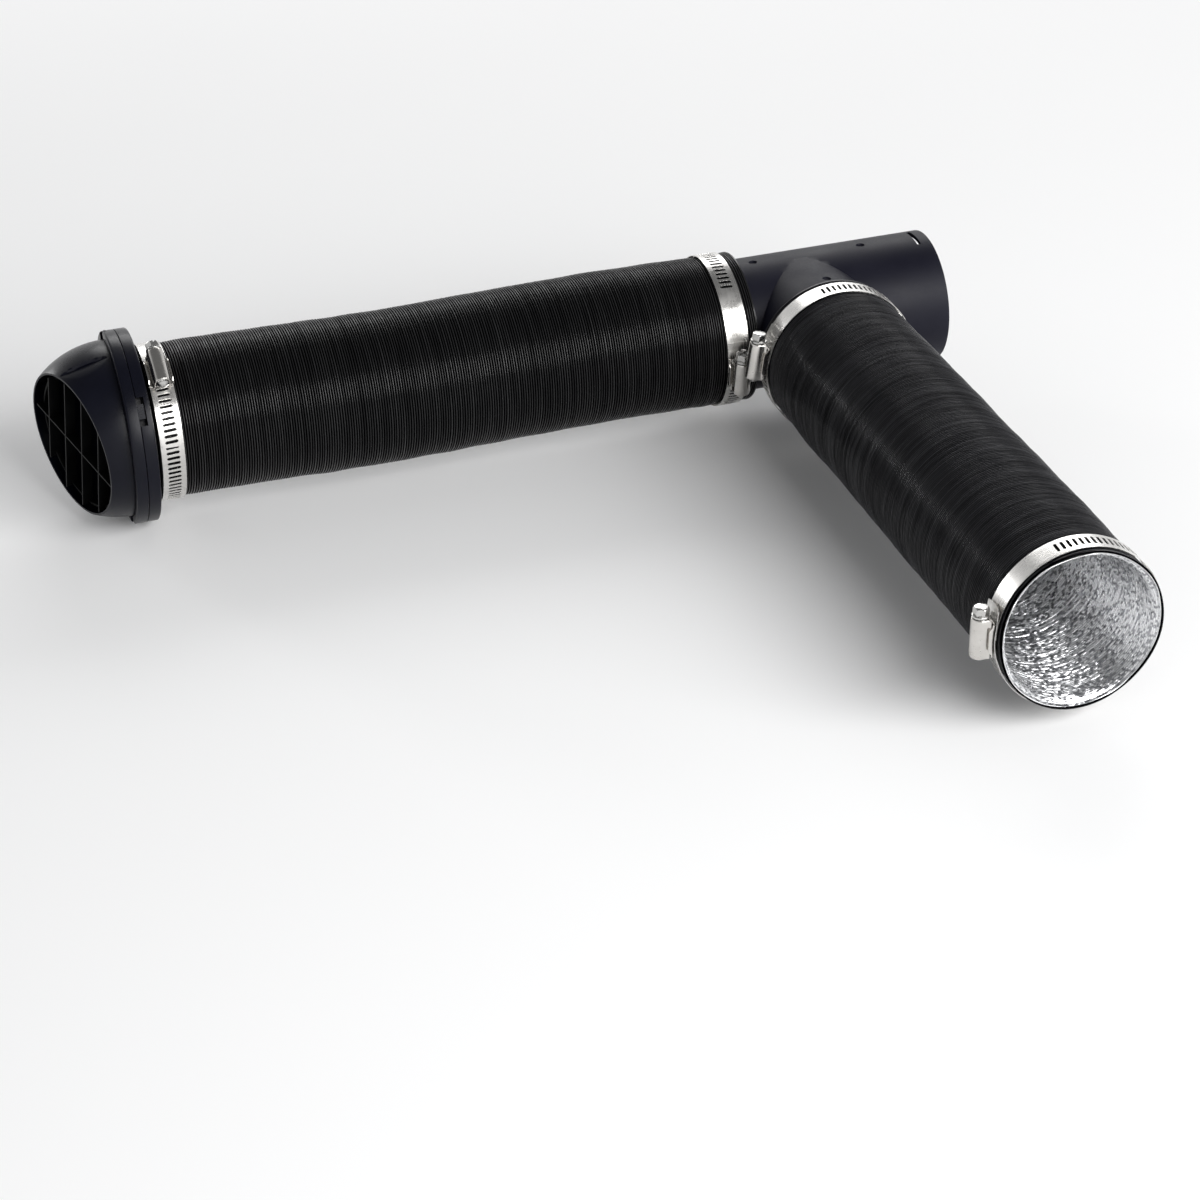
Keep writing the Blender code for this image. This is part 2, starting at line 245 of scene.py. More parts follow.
def steel(name, along=None, base=(0.80, 0.785, 0.76), rough=(0.2, 0.34), line=0.006):
    """rolled stainless strip, with fine draw lines round it and faint smears"""
    m, nt, b = nodes_of(name)
    k = [60, 60, 60]
    if along is not None:
        k[along] = 6500
    else:
        k = [900, 900, 900]
    lines = noise(nt, mapped(nt, tuple(k)), 1.0, 3, 0.6)
    v = mapped(nt, (1, 1, 1))
    smear = noise(nt, v, 120, 4)
    nt.links.new(mix_colour(nt, span(nt, smear, 0.35, 0.7, 0, 1), base, tuple(x * 0.86 for x in base)), b.inputs["Base Color"])
    b.inputs["Metallic"].default_value = 1.0
    r = maths(nt, "ADD", span(nt, smear, 0.3, 0.7, rough[0], rough[1]), span(nt, lines, 0.3, 0.7, -0.05, 0.05))
    nt.links.new(r, b.inputs["Roughness"])
    nt.links.new(bump(nt, lines, line, 1.0), b.inputs["Normal"])
    return m


MAT = {
    "tee": plastic("tee_moulded_plastic", (0.0058, 0.0058, 0.0118), (0.0080, 0.0080, 0.0150), (0.44, 0.54), spec=0.165),
    "vent": plastic("vent_moulded_plastic", (0.0024, 0.0027, 0.0062), (0.0036, 0.0040, 0.0086), (0.28, 0.36), spec=0.19),
    "grille": plastic("grille_moulded_plastic", (0.0012, 0.0012, 0.0014), (0.0022, 0.0022, 0.0024), (0.4, 0.55), spec=0.15),
    # the crest colours of the two wraps are painted highlights on the ridge crests
    "wrap_x": wrap("duct_wrap_outlet", 0, (0.0003, 0.0003, 0.0005), (0.020, 0.020, 0.021), (0.17, 0.24), 0.62, 1.0, 0.54),
    "wrap_y": wrap("duct_wrap_branch", 1, (0.0003, 0.0003, 0.0006), (0.036, 0.036, 0.041), (0.14, 0.22), 0.70, 2.2, 0.34),
    "foil_x": foil("duct_foil_outlet", 0),
    "foil_y": foil("duct_foil_branch", 1),
    "band_x": steel("clamp_band_outlet", 0),
    "band_y": steel("clamp_band_branch", 1),
    "shell": steel("clamp_housing_steel", None, (0.66, 0.64, 0.61), (0.16, 0.28), 0.008),
    "screw": steel("clamp_screw_steel", None, (0.58, 0.575, 0.56), (0.18, 0.34), 0.012),
    "dark_screw": steel("vent_screw_steel", None, (0.10, 0.10, 0.105), (0.35, 0.5), 0.014),
}


# ------------------------------------------------------------------ mesh helpers
def make(name, V, F, kind, sharp=35, data=None):
    """an object from vertices in metres and faces; flipped if it is inside out"""
    V = np.asarray(V, float).reshape(-1, 3)
    me = bpy.data.meshes.new(name)
    if isinstance(F, np.ndarray):
        c = V.mean(0)
        a, b, cc = V[F[:, 0]] - c, V[F[:, 1]] - c, V[F[:, 2]] - c
        d = V[F[:, -1]] - c
        vol = np.einsum("ij,ij->i", a, np.cross(b, cc)).sum() + np.einsum("ij,ij->i", a, np.cross(cc, d)).sum()
        if vol < 0:
            F = F[:, ::-1]
        F = F.tolist()
        me.from_pydata(V.tolist(), [], F)
    else:
        me.from_pydata(V.tolist(), [], F)
        bm = bmesh.new()
        bm.from_mesh(me)
        bmesh.ops.recalc_face_normals(bm, faces=bm.faces[:])
        bm.to_mesh(me)
        bm.free()
    for k, v in (data or {}).items():
        at = me.attributes.new(k, "FLOAT", "POINT")
        at.data.foreach_set("value", np.asarray(v, np.float32).ravel())
    me.materials.append(MAT[kind])
    me.shade_smooth()
    if sharp:
        me.set_sharp_from_angle(angle=math.radians(sharp))
    o = bpy.data.objects.new(name, me)
    bpy.context.scene.collection.objects.link(o)
    return o


def ring_grid(name, P, kind, sharp=35, data=None):
    """P[m, n, 3] closed in both directions"""
    m, n = P.shape[:2]
    i = np.arange(m * n).reshape(m, n)
    b, d = np.roll(i, -1, 1), np.roll(i, -1, 0)
    F = np.stack([i, b, np.roll(b, -1, 0), d], -1).reshape(-1, 4)
    return make(name, P.reshape(-1, 3), F, kind, sharp, data)


def fillet(pts, n=4):
    """an outline of (x, y, radius) with its corners rounded"""
    out = []
    m = len(pts)
    for i in range(m):
        p = np.array(pts[i][:2], float)
        r = pts[i][2] if len(pts[i]) > 2 else 0
        if r <= 0:
            out.append(tuple(p))
            continue
        a = np.array(pts[i - 1][:2], float) - p
        b = np.array(pts[(i + 1) % m][:2], float) - p
        la, lb = np.linalg.norm(a), np.linalg.norm(b)
        r = min(r, la * 0.45, lb * 0.45)
        A, B = p + a / la * r, p + b / lb * r
        for k in range(n + 1):
            t = k / n
            out.append(tuple((1 - t) ** 2 * A + 2 * t * (1 - t) * p + t * t * B))
    return out


def turned(name, pts, M, kind, steps=192, sharp=30):
    """a closed outline of (radius, distance, fillet) turned about the frame's Z"""
    prof = np.array(fillet(pts))
    a = np.arange(steps) * TAU / steps
    P = np.empty((len(prof), steps, 3))
    P[..., 0] = prof[:, :1] * np.cos(a)
    P[..., 1] = prof[:, :1] * np.sin(a)
    P[..., 2] = prof[:, 1:]
    return ring_grid(name, world(P, M), kind, sharp)


def lathe_solid(name, rows, M, kind, steps=48, sharp=30, radius=None):
    """a solid from rows of (radius, distance), closed on the axis at both ends; radius(a, r, z) may reshape it"""
    a = np.arange(steps) * TAU / steps
    R = np.array([r for r, z in rows])[:, None] * np.ones(steps)
    Z = np.array([z for r, z in rows])[:, None] * np.ones(steps)
    if radius is not None:
        R = radius(a[None, :] + 0 * R, R, Z)
    P = np.stack([R * np.cos(a), R * np.sin(a), Z], -1)
    m = len(rows)
    V = np.concatenate([P.reshape(-1, 3), [[0, 0, rows[0][1]], [0, 0, rows[-1][1]]]])
    i = np.arange(m * steps).reshape(m, steps)
    b = np.roll(i, -1, 1)
    F = np.stack([i[:-1], b[:-1], b[1:], i[1:]], -1).reshape(-1, 4).tolist()
    F += [[m * steps, int(b[0, k]), int(i[0, k])] for k in range(steps)]
    F += [[m * steps + 1, int(i[-1, k]), int(b[-1, k])] for k in range(steps)]
    return make(name, world(V, M), F, kind, sharp)


def cells(name, top, bottom, keep, M, kind, sharp=30, closed=False):
    """a plate: top and bottom are [nu+1, nv+1, 3] surfaces, and keep [nu, nv] says which cells are solid"""
    nu, nv = keep.shape
    n = (nu + 1) * (nv + 1)
    idx = np.arange(n).reshape(nu + 1, nv + 1)
    F = []
    pad = np.zeros((nu + 2, nv + 2), bool)
    pad[1:-1, 1:-1] = keep
    for i in range(nu):
        for j in range(nv):
            if not keep[i, j]:
                continue
            a, b, c, d = int(idx[i, j]), int(idx[i + 1, j]), int(idx[i + 1, j + 1]), int(idx[i, j + 1])
            F.append([a, b, c, d])
            F.append([d + n, c + n, b + n, a + n])
            if not pad[i, j + 1]:
                F.append([d, d + n, a + n, a])
            if not pad[i + 2, j + 1]:
                F.append([b, b + n, c + n, c])
            if not pad[i + 1, j]:
                F.append([a, a + n, b + n, b])
            if not pad[i + 1, j + 2]:
                F.append([c, c + n, d + n, d])
    V = np.concatenate([top.reshape(-1, 3), bottom.reshape(-1, 3)])
    used = np.unique(np.concatenate([np.array(f) for f in F]))
    remap = np.full(2 * n, -1)
    remap[used] = np.arange(len(used))
    F = remap[np.array(F)]
    return make(name, world(V[used], M), F, kind, sharp)


def settle(o, sharp=None):
    """apply the modifiers"""
    bpy.context.view_layer.update()
    dg = bpy.context.evaluated_depsgraph_get()
    made = bpy.data.meshes.new_from_object(o.evaluated_get(dg), preserve_all_data_layers=True, depsgraph=dg)
    o.modifiers.clear()
    old = o.data
    o.data = made
    made.name = o.name
    bpy.data.meshes.remove(old)
    if sharp:
        made.shade_smooth()
        made.set_sharp_from_angle(angle=math.radians(sharp))
    return o


def bevel(o, width_mm, segments=2, angle=35, harden=True):
    b = o.modifiers.new("edge", "BEVEL")
    b.width = width_mm * MM
    b.segments = segments
    b.limit_method = "ANGLE"
    b.angle_limit = math.radians(angle)
    b.harden_normals = harden
    b.miter_outer = "MITER_ARC"
    return settle(o)


def cutter_block(size, M, taper=1.0):
    bm = bmesh.new()
    bmesh.ops.create_cube(bm, size=1.0)
    for v in bm.verts:
        v.co = Vector((v.co.x * size[0], v.co.y * size[1], v.co.z * size[2]))
    me = bpy.data.meshes.new("cut")
    V = world(np.array([v.co for v in bm.verts]), M)
    for v, p in zip(bm.verts, V):
        v.co = Vector(p)
    bmesh.ops.recalc_face_normals(bm, faces=bm.faces[:])
    bm.to_mesh(me)
    bm.free()
    o = bpy.data.objects.new("cut", me)
    bpy.context.scene.collection.objects.link(o)
    return o


def cutter_cyl(r, length, M, steps=48, r2=None):
    bm = bmesh.new()
    bmesh.ops.create_cone(bm, cap_ends=True, segments=steps, radius1=r, radius2=(r if r2 is None else r2), depth=length)
    V = world(np.array([v.co for v in bm.verts]) + np.array([0, 0, length / 2]), M)
    for v, p in zip(bm.verts, V):
        v.co = Vector(p)
    bmesh.ops.recalc_face_normals(bm, faces=bm.faces[:])
    me = bpy.data.meshes.new("cut")
    bm.to_mesh(me)
    bm.free()
    o = bpy.data.objects.new("cut", me)
    bpy.context.scene.collection.objects.link(o)
    return o


def combine(o, cuts, op="DIFFERENCE"):
    for c in cuts:
        b = o.modifiers.new(op.lower(), "BOOLEAN")
        b.operation = op
        b.object = c
        b.solver = "EXACT"
    settle(o)
    for c in cuts:
        me = c.data
        bpy.data.objects.remove(c)
        bpy.data.meshes.remove(me)
    return o


def outward(o):
    """turns every face of a closed mesh outwards"""
    bm = bmesh.new()
    bm.from_mesh(o.data)
    bmesh.ops.recalc_face_normals(bm, faces=bm.faces[:])
    bm.to_mesh(o.data)
    bm.free()
    return o


def waves(n, m_hi, k_hi, rng):
    """a smooth random field of distance and angle, periodic in the angle, of about unit size"""
    m = rng.randint(0, m_hi + 1, n)
    k = rng.uniform(-k_hi, k_hi, n)
    p = rng.uniform(0, TAU, n)
    w = rng.uniform(0.4, 1.0, n) / math.sqrt(n / 2)
    return lambda s, a: sum(w[i] * np.sin(m[i] * a + k[i] * s + p[i]) for i in range(n))


def smooth(x):
    x = np.clip(x, 0, 1)
    return x * x * (3 - 2 * x)


# ------------------------------------------------------------------ ducts
BAND_HALF = 6.35
DUCTS = {
    "outlet_duct": dict(
        arm="-X", cuts=(38.0, 76.0, 165.0, 215.0, 265.0, 340.0, 380.2), clamps=(51.15, 371.35), kind=("wrap_x", "foil_x"),
        amp=0.9, wob=0.05, wavy=0.12, lump=(0.0, 100.0, 40.0), pitch=1.38, open_end=False,
        near=("outlet_near", "outlet_mid_1", "outlet_mid_2", "outlet_far"), foil_cols=(96, 96)),
    "branch_duct": dict(
        arm="-Y", cuts=(50.0, 92.0, 175.0, 225.0, 275.0, 344.0, 384.3), clamps=(61.9, 373.45), kind=("wrap_y", "foil_y"),
        amp=0.85, wob=0.16, wavy=0.34, lump=(0.8, 108.0, 38.0), pitch=1.42, open_end=True,
        near=("branch_near", "branch_mid_1", "branch_mid_2", "branch_far"), foil_cols=(128, 384)),
}
ZONES = ("collar", "stretch_near", "bend_near", "bend_far", "stretch_far", "end")
U = (0.0, 0.2, 0.38, 0.5, 0.62, 0.8)


def centre_shift(name, s):
    """how far the duct's middle lies above or below the straight line between its ends"""
    if name != "outlet_duct":
        return 0 * s
    return -1.5 * np.exp(-(((s - 250) / 55) ** 2)) + 0.8 * np.exp(-(((s - 120) / 40) ** 2))


def build_duct(name, d):
    rng = np.random.RandomState(11 if name == "outlet_duct" else 23)
    w_r, w_z, w_l = waves(14, 5, 0.09, rng), waves(12, 4, 0.35, rng), waves(8, 3, 0.11, rng)
    w_f, w_e = waves(22, 60, 2.2, rng), waves(10, 9, 0.0, rng)
    end = d["cuts"][-1]
    start = d["cuts"][0]

    def free(s):
        """0 under a band, rising to 1 in the open"""
        f = np.ones_like(s)
        for c in d["clamps"]:
            f = np.minimum(f, smooth((np.abs(s - c) - BAND_HALF - 0.4) / 9.0))
        return f

    def under(s):
        u = np.zeros_like(s)
        for c in d["clamps"]:
            u = np.maximum(u, 1 - smooth((np.abs(s - c) - BAND_HALF + 0.3) / 1.6))
        return u

    def ragged(s, a, back=0.0):
        """the cut ends of the duct aren't quite square"""
        out = 0.22 * w_e(0 * s, a) * (1 - smooth((s - start) / 3.0)) + 0.25 * (1 - smooth((s - start) / 3.0))
        if d["open_end"]:
            g = smooth((s - (end - 4.0)) / 4.0)
            out = out - back * g
            out = out + g * (0.32 * w_e(0 * s + 3, a + 1.1) - 0.3 - 0.9 * (0.5 + 0.5 * np.cos(a - 1.9)) ** 2)
        return out

    def oval(s, a):
        if not d["open_end"]:
            return 0 * s
        g = smooth((s - 366.0) / 18.0)
        return g * (0.22 * np.cos(3 * (a - 0.4)) + 0.16 * np.cos(5 * a + 1.0) + 0.10 * np.cos(8 * a + 2.0)) * smooth((s - 379.8) / 3.5)

    def flare(s, a=0.0):
        """the open end is spread a little, so that the foil lies close behind the wrap's edge"""
        return (1.9 + 0.7 * np.cos(a - math.radians(135))) * smooth((s - (end - 5.5)) / 5.5) if d["open_end"] else 0 * s

    def outer(s, a, h):
        f = free(s)
        c, k, wd = d["lump"]
        wav = d["wavy"] + c * np.exp(-(((s - k) / wd) ** 2))
        top = 42.4 + f * (wav * w_r(s, a) * 0.55 + 0.12 * (w_l(s * 3.1, a)))
        amp = d["amp"] * (1 - 0.45 * under(s))
        r = top - amp * (1 - h)
        r = r - 0.25 * (1 - f) * (1 - under(s))
        return np.where(under(s) > 0.5, np.minimum(r, 42.0), r) + oval(s, a)

    def place(s, a, r, back=0.0):
        z = s + d["wob"] * free(s) * w_z(s, a) + ragged(s, a, back)
        return np.stack([r * np.cos(a) + centre_shift(name, s), r * np.sin(a) + 0 * s, z], -1)

    M = ALONG[d["arm"]]
    for zi, zone in enumerate(ZONES):
        z0, z1 = d["cuts"][zi], d["cuts"][zi + 1]
        n = int(round((z1 - z0) / d["pitch"]))
        e = np.linspace(z0, z1, n + 1)
        e[1:-1] += rng.uniform(-0.10, 0.10, n - 1)
        hh = rng.uniform(0.86, 1.0, n)
        s, h = [], []
        for k in range(n):
            for u in U:
                s.append(e[k] + (e[k + 1] - e[k]) * u)
                h.append(math.sin(math.pi * u) ** 0.9 * hh[k])
        s.append(z1)
        h.append(0.0)
        s, h = np.array(s)[:, None], np.array(h)[:, None]
        hw = h.copy()
        if zone == "end" and d["open_end"]:
            hw[-3:] = np.maximum(hw[-3:], 0.9)
        if zone == "collar":
            hw[:3] = np.maximum(hw[:3], 0.9)
        # black wrap
        cols = 128
        a = np.arange(cols)[None, :] * TAU / cols
        S, A, H = s + 0 * a, a + 0 * s, hw + 0 * a
        shy = 0.1 + 2.4 * np.clip(np.cos(A - math.radians(140)), 0, 1) if zone == "end" else 0.0
        P1 = place(S, A, outer(S, A, H), shy)
        si = np.linspace(z1, z0, max(4, int((z1 - z0) / 4)))[:, None]
        S2, A2 = si + 0 * a, a + 0 * si
        shy = 0.1 + 2.4 * np.clip(np.cos(A2 - math.radians(140)), 0, 1) if zone == "end" else 0.0
        P2 = place(S2, A2, 39.75 + 0.72 * flare(S2, A2) + oval(S2, A2), shy)
        P = np.concatenate([P1, P2])
        # crest height per vertex, which the wrap material uses as the mask for its painted crest highlight
        crest = np.concatenate([H, np.zeros_like(S2)])
        skin = ring_grid(f"{name}_wrap_{zone}", world(P, M), d["kind"][0], 62, {"crest": crest})
        # foil liner, ridged inside
        cols = d["foil_cols"][1] if zi >= 4 else d["foil_cols"][0]
        a = np.arange(cols)[None, :] * TAU / cols
        S, A, H = s + 0 * a, a + 0 * s, h + 0 * a
        # each ring carries a row of small pressed dents of random length
        ncell = cols // 2
        table = rng.random_sample((n + 1, ncell))
        dash = np.where(table < 0.30, 1.0, 0.0)
        press = rng.uniform(-1, 1, (n + 1, ncell))
        ring_no = np.minimum(np.repeat(np.arange(n + 1), len(U))[: len(s)], n)[:, None]
        pos = A * ncell / TAU + 0.5 * (ring_no % 2)
        cell = np.floor(pos).astype(int) % ncell
        dash, press = dash[ring_no + 0 * cell, cell], press[ring_no + 0 * cell, cell]
        soft = 0.12 * w_f(S * 0.25, A)
        Hf = H ** 1.6 * np.where(ring_no % 2 == 0, 1.0, 0.85)
        ri = 38.85 - 0.70 * Hf + (0.12 * press + 0.18 * dash) * H ** 0.5 + soft * 0.2
        ri = np.clip(ri, 37.9, 39.05) + flare(S, A) + oval(S, A)
        P1 = place(S, A, ri)
        # painted shade for the foil colour: lighter on the ring ridges, darker in the valleys, darker still in the
        # pressed dents
        mark = np.clip(0.40 + 0.70 * Hf ** 0.8, 0, 1) * (1 - 0.8 * dash * H ** 0.4)
        rows = [P1]
        if zone == "end" and d["open_end"]:
            # the foil's torn edge: thin, uneven, just proud of the wrap
            low = np.clip(np.cos(a - math.radians(300)), 0, 1)
            zz = ragged(np.full_like(a, end), a) + end - 0.9 * low
            tear = 0.45 + 0.38 * w_e(0 * a + 5, a) + 0.12 * np.sin(17 * a + 0.6)
            tear = np.clip(tear, -0.1, 1.1)
            lean = 0.22 * w_e(0 * a + 9, a)
            def at(r, z):
                return np.stack([r * np.cos(a), r * np.sin(a), z + 0 * a], -1)
            inner = 38.75 + flare(end + 0 * a, a) + oval(end + 0 * a, a)
            rows += [at(inner + 0.3 * lean, zz + 0.5 * tear), at(inner + 0.12 + lean, zz + tear), at(inner + 0.36 + lean, zz + tear + 0.02),
                     at(inner + 0.38 + 0.5 * lean, zz + 0.4 * tear), at(inner + 0.36, zz)]
        S2, A2 = si + 0 * a, a + 0 * si
        P2 = place(S2, A2, 39.4 + 0.82 * flare(S2, A2) + oval(S2, A2))
        stack = np.concatenate(rows + [P2])
        mark = np.concatenate([mark, np.full((len(stack) - len(mark), cols), 0.9)])
        lining = ring_grid(f"{name}_liner_{zone}", world(stack, M), d["kind"][1], 62, {"mark": mark})
        nb = d["near"]
        for o, cad in ((skin, f"{name}_skin_{zone}"), (lining, f"{name}_foil_{zone}")):
            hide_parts(cad)
            if zone == "collar":
                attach(o, "root")
            elif zone == "end":
                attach(o, nb[3])
            else:
                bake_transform(o)


for nm, d in DUCTS.items():
    build_duct(nm, d)


# ------------------------------------------------------------------ clamps
SLOT_PITCH, SLOT_W, SLOT_L = 3.175, 1.6, 7.1
BAND_R0 = 42.92


def band(k, F, kind, side, tail_deg, slots, body, lift=0.0):
    """one strip: from under the housing, once round, through the housing on top of itself, and out as the tail"""
    T, W = 0.36, 6.35
    total = math.radians(360 + tail_deg)
    us = [0.0]
    marks = []
    pitch = SLOT_PITCH / (BAND_R0 + T)
    half = SLOT_W / 2 / (BAND_R0 + T)
    for a0, a1 in slots:
        u = math.radians(a0)
        while u < math.radians(a1):
            marks.append(u)
            u += pitch
    edges = set()
    for u in marks:
        for q in (-half, -half * 0.5, half * 0.5, half):
            edges.add(round(u + q, 6))
    u = 0.0
    while u <= total + 1e-9:
        if all(abs(u - m) > half * 1.6 for m in marks):
            edges.add(round(u, 6))
        u += math.radians(2.4)
    edges.add(0.0)
    edges.add(round(total - math.radians(1.2), 6))
    edges.add(round(total, 6))
    us = np.array(sorted(e for e in edges if 0 <= e <= total))
    keepu = np.concatenate([[True], np.diff(us) > 2e-4])
    us = us[keepu]
    vs = np.array([-W, -W * 0.82, -SLOT_L / 2, -SLOT_L / 2 + 0.38, 0, SLOT_L / 2 - 0.38, SLOT_L / 2, W * 0.82, W])
    keep = np.ones((len(us) - 1, len(vs) - 1), bool)
    mid = (us[:-1] + us[1:]) / 2
    for m in marks:
        inside = np.abs(mid - m) < half
        core = np.abs(mid - m) < half * 0.5
        keep[np.ix_(inside, [3, 4])] = False
        keep[np.ix_(core, [2, 5])] = False
    Um, Vm = np.meshgrid(us, vs, indexing="ij")
    # the strip climbs on to its own start just before the housing
    climb = smooth((Um - math.radians(340)) / math.radians(13)) * (T + 0.07)
    free_end = smooth((Um - math.radians(360 + max(4.0, tail_deg - 14))) / math.radians(14))
    r = BAND_R0 + climb + lift * free_end
    r = r - 0.03 * (np.abs(Vm) > W * 0.9)
    # the tail's corners are rounded off
    cut = 1 - np.abs(Vm) / W
    back = np.radians(2.2) * np.clip(0.25 - cut, 0, 1) / 0.25 * smooth((Um - (total - math.radians(1.5))) / math.radians(1.5))
    ang = side * (Um + 0.0 + 0.055 * Vm / BAND_R0 * (Um > 0.01) * (Um < total - 0.02) - back)
    def surf(rr):
        return np.stack([rr * np.cos(ang), rr * np.sin(ang), Vm], -1)
    o = cells(f"clamp_{k}_strip", surf(r + T), surf(r), keep, F, kind)
    bevel(o, 0.11, 1, 40)
    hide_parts(f"clamp_{k}_band")
    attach(o, body)
    return o


def clamp(k, arm, angle_deg, dist, head, side, tail_deg, slots, kind, body, screw_body, lift=0.0, spin=0.0):
    F = on_arm(arm, angle_deg, dist)
    if head < 0:
        F = F @ Matrix.Rotation(math.pi, 4, "X")
    band(k, F, kind, side, tail_deg, slots, body, lift)
    HR = 48.6
    sr = 44.15
    # saddle: a curved plate on the strip, with an ear folded up along each side of the barrel
    nu, t = 24, 0.8
    us = np.linspace(-8.6, 8.6, nu + 1)
    prof = [(-6.7, 2.6), (-6.7, 1.5), (-6.62, 0.58), (-6.3, 0.12), (-5.8, 0.0), (0, 0.0), (5.8, 0.0), (6.3, 0.12), (6.62, 0.58), (6.7, 1.5), (6.7, 2.6)]
    inn = [(-6.1, 2.6), (-6.1, 1.6), (-6.04, 1.05), (-5.9, 0.85), (-5.45, t), (0, t), (5.45, t), (5.9, 0.85), (6.04, 1.05), (6.1, 1.6), (6.1, 2.6)]
    low = np.empty((nu + 1, len(prof), 3))
    up = np.empty_like(low)
    for i, u in enumerate(us):
        drop = (u * u) / (2 * sr) * 0.92
        for j, ((z, h), (zi, hi_)) in enumerate(zip(prof, inn)):
            fold = min(1.0, h / 2.6)
            ear = 1.0 - 0.62 * smooth(np.array((abs(u) - 5.2) / 2.6)) * 1.0
            low[i, j] = (sr + h * (ear if h > 1 else 1) - drop * (1 - fold * 0.75), u, z)
            up[i, j] = (sr + hi_ * (ear if hi_ > 1.1 else 1) - drop * (1 - min(1, hi_ / 2.6) * 0.75), u, zi)
    o = cells(f"clamp_{k}_cradle", up, low, np.ones((nu, len(prof) - 1), bool), F, "shell")
    bevel(o, 0.16, 2, 40)
    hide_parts(f"clamp_{k}_saddle")
    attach(o, body)
    # housing: a pressed barrel over the worm, drawn in a little at its ends
    ys = np.array([-10.5, -10.2, -9.4, -8.2, -6.8, -3.4, 0, 3.4, 6.8, 8.2, 9.4, 10.2, 10.5])
    pull = np.array([0.42, 0.22, 0.12, 0.05, 0, 0, 0, 0, 0, 0.05, 0.12, 0.22, 0.42])
    arc = [math.pi * i / 20 for i in range(21)]
    foot = sr + 1.05 - HR
    top = np.empty((len(ys), 21 + 6, 3))
    bot = np.empty_like(top)
    for i, (y, p) in enumerate(zip(ys, pull)):
        ro, ri = 4.75 - p, 3.72 - p * 0.15
        po = [(foot, -ro - 0.55), (foot + 0.45, -ro - 0.22), (foot + 1.5, -ro)] + [(ro * math.sin(t_), -ro * math.cos(t_)) for t_ in arc] + [(foot + 1.5, ro), (foot + 0.45, ro + 0.22), (foot, ro + 0.55)]
        pi_ = [(foot, -ri - 0.30), (foot + 0.45, -ri - 0.12), (foot + 1.5, -ri)] + [(ri * math.sin(t_), -ri * math.cos(t_)) for t_ in arc] + [(foot + 1.5, ri), (foot + 0.45, ri + 0.12), (foot, ri + 0.30)]
        for j in range(27):
            top[i, j] = (HR + po[j][0], y, po[j][1])
            bot[i, j] = (HR + pi_[j][0], y, pi_[j][1])
    o = cells(f"clamp_{k}_barrel", top, bot, np.ones((len(ys) - 1, 26), bool), F, "shell", 40)
    bevel(o, 0.2, 2, 50)
    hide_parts(f"clamp_{k}_housing")
    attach(o, body)
    # screw: chamfered hex head with a cross recess, washer, worm thread, point
    S = F @ Matrix.Translation((HR, 0, 0)) @ Matrix.Rotation(math.radians(-90), 4, "X") @ Matrix.Rotation(math.radians(spin), 4, "Z")
    rows = [(1.2, 16.2), (3.15, 16.2), (3.45, 16.08), (3.75, 15.85), (4.15, 15.45), (4.15, 13.2), (4.15, 12.36), (3.5, 12.22), (3.5, 12.12), (4.3, 12.08), (4.42, 11.92), (4.42, 11.12), (4.3, 10.98), (3.2, 10.92), (3.2, 10.7)]
    z = 10.6
    while z > -11.2:
        rows.append((3.1, z))
        z -= 0.22
    rows += [(2.9, -11.3), (2.2, -12.0), (1.2, -12.55), (0.6, -12.6)]

    def shape(a, R, Z):
        hexr = 3.52 / np.cos((a + math.pi / 6) % (math.pi / 3) - math.pi / 6)
        R = np.where((Z > 12.3) & (Z < 16.3), np.minimum(R, hexr), R)
        ph = (Z / 1.75 - a / TAU) % 1.0
        th = np.clip(1.6 - 4.2 * np.abs(ph - 0.5), 0, 1)
        R = np.where((Z < 10.65) & (Z > -11.25), 2.72 + 0.62 * th, R)
        return R

    o = lathe_solid(f"clamp_{k}_worm_screw", rows, S, "screw", 72, 32, shape)
    cuts = [cutter_block((8.4, 1.35, 3.0), S @ Matrix.Translation((0, 0, 16.5))), cutter_block((1.35, 5.4, 4.0), S @ Matrix.Translation((0, 0, 16.4)))]
    combine(o, cuts)
    o.data.shade_smooth()
    o.data.set_sharp_from_angle(angle=math.radians(32))
    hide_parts(f"clamp_{k}_screw")
    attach(o, screw_body)


clamp(1, "-X", 61 - 90, 371.35, 1, -1, 55, ((5, 176), (348, 360 + 52)), "band_x", "outlet_far", "clamp_1_worm", 0.12, 12)
clamp(2, "-X", -10 - 90, 51.15, 1, 1, 24, ((67, 376),), "band_x", "root", "clamp_2_worm", 0.2, 22)
clamp(3, "-Y", 180 - 9, 61.9, -1, 1, 27, ((70, 384),), "band_y", "root", "clamp_3_worm", 0.15, 41)
clamp(4, "-Y", 180 - 2, 373.45, -1, 1, 22, ((74, 375),), "band_y", "branch_far", "clamp_4_worm", 1.5, 5)


